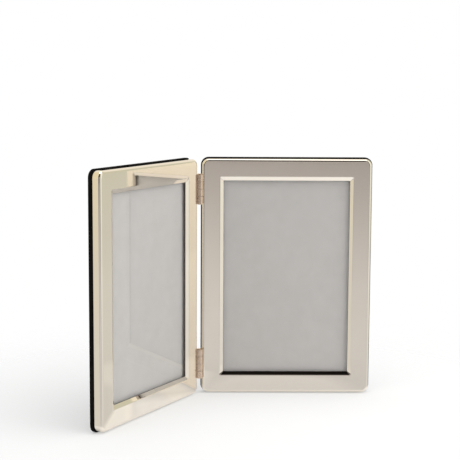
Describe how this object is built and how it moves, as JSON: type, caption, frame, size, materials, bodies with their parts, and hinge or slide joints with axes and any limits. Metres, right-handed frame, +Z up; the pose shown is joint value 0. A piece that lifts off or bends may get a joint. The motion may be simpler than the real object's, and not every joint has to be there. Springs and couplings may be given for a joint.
{
  "type": "hinged double photo frame",
  "caption": "Hinged double photo frame: polished metal portrait panels with bevelled openings, glass and black velvet backs, joined by butt hinges to fold like a book.",
  "frame": {"origin": "middle of the standing frame's outline seen from above, on the surface that it stands on", "axes": "+X to the right along the right-hand panel, +Y towards its back, +Z up along the hinge axis"},
  "size_m": [0.2044, 0.1234, 0.1814],
  "materials": {
    "plated_sheet": "polished",
    "hinge_metal": "polished",
    "clip_steel": "satin",
    "velvet_board": "matte",
    "fibreboard": "matte",
    "clear_glass": "polished",
    "photo_card": "matte",
    "packing_card": "matte"
  },
  "bodies": {
    "right_panel": {"right_front_shell": "plated_sheet", "right_core_frame": "fibreboard", "right_velvet_back": "velvet_board", "right_back_door": "velvet_board", "right_glass": "clear_glass", "right_photo_card": "photo_card", "right_packing_card": "packing_card", "right_clip_rivets": "clip_steel", "right_hinge_rivets": "hinge_metal", "right_upper_hinge_leaf": "hinge_metal", "right_lower_hinge_leaf": "hinge_metal", "upper_hinge_pin": "hinge_metal", "lower_hinge_pin": "hinge_metal"},
    "left_panel": {"left_front_shell": "plated_sheet", "left_core_frame": "fibreboard", "left_velvet_back": "velvet_board", "left_back_door": "velvet_board", "left_glass": "clear_glass", "left_photo_card": "photo_card", "left_packing_card": "packing_card", "left_clip_rivets": "clip_steel", "left_hinge_rivets": "hinge_metal", "left_upper_hinge_leaf": "hinge_metal", "left_lower_hinge_leaf": "hinge_metal"},
    "right_upper_left_clip": {"right_upper_left_clip": "clip_steel"},
    "right_lower_left_clip": {"right_lower_left_clip": "clip_steel"},
    "right_upper_right_clip": {"right_upper_right_clip": "clip_steel"},
    "right_lower_right_clip": {"right_lower_right_clip": "clip_steel"},
    "left_upper_left_clip": {"left_upper_left_clip": "clip_steel"},
    "left_lower_left_clip": {"left_lower_left_clip": "clip_steel"},
    "left_upper_right_clip": {"left_upper_right_clip": "clip_steel"},
    "left_lower_right_clip": {"left_lower_right_clip": "clip_steel"}
  },
  "joints": [
    {"name": "fold", "type": "hinge", "parent": "right_panel", "child": "left_panel", "pos_m": [-0.02844, 0.04966, 0], "axis": [0, 0, 1], "range_deg": [-66, 120]},
    {"name": "right_upper_left_clip_turn", "type": "hinge", "parent": "right_panel", "child": "right_upper_left_clip", "pos_m": [-0.01834, 0.05966, 0.1307], "axis": [0, 1, 0], "continuous": true},
    {"name": "right_lower_left_clip_turn", "type": "hinge", "parent": "right_panel", "child": "right_lower_left_clip", "pos_m": [-0.01834, 0.05966, 0.0507], "axis": [0, 1, 0], "continuous": true},
    {"name": "right_upper_right_clip_turn", "type": "hinge", "parent": "right_panel", "child": "right_upper_right_clip", "pos_m": [0.09286, 0.05966, 0.1307], "axis": [0, 1, 0], "continuous": true},
    {"name": "right_lower_right_clip_turn", "type": "hinge", "parent": "right_panel", "child": "right_lower_right_clip", "pos_m": [0.09286, 0.05966, 0.0507], "axis": [0, 1, 0], "continuous": true},
    {"name": "left_upper_left_clip_turn", "type": "hinge", "parent": "left_panel", "child": "left_upper_left_clip", "pos_m": [-0.09775, -0.05039, 0.1307], "axis": [-0.866, 0.5, 0], "continuous": true},
    {"name": "left_lower_left_clip_turn", "type": "hinge", "parent": "left_panel", "child": "left_lower_left_clip", "pos_m": [-0.09775, -0.05039, 0.0507], "axis": [-0.866, 0.5, 0], "continuous": true},
    {"name": "left_upper_right_clip_turn", "type": "hinge", "parent": "left_panel", "child": "left_upper_right_clip", "pos_m": [-0.04215, 0.04591, 0.1307], "axis": [-0.866, 0.5, 0], "continuous": true},
    {"name": "left_lower_right_clip_turn", "type": "hinge", "parent": "left_panel", "child": "left_lower_right_clip", "pos_m": [-0.04215, 0.04591, 0.0507], "axis": [-0.866, 0.5, 0], "continuous": true}
  ]
}
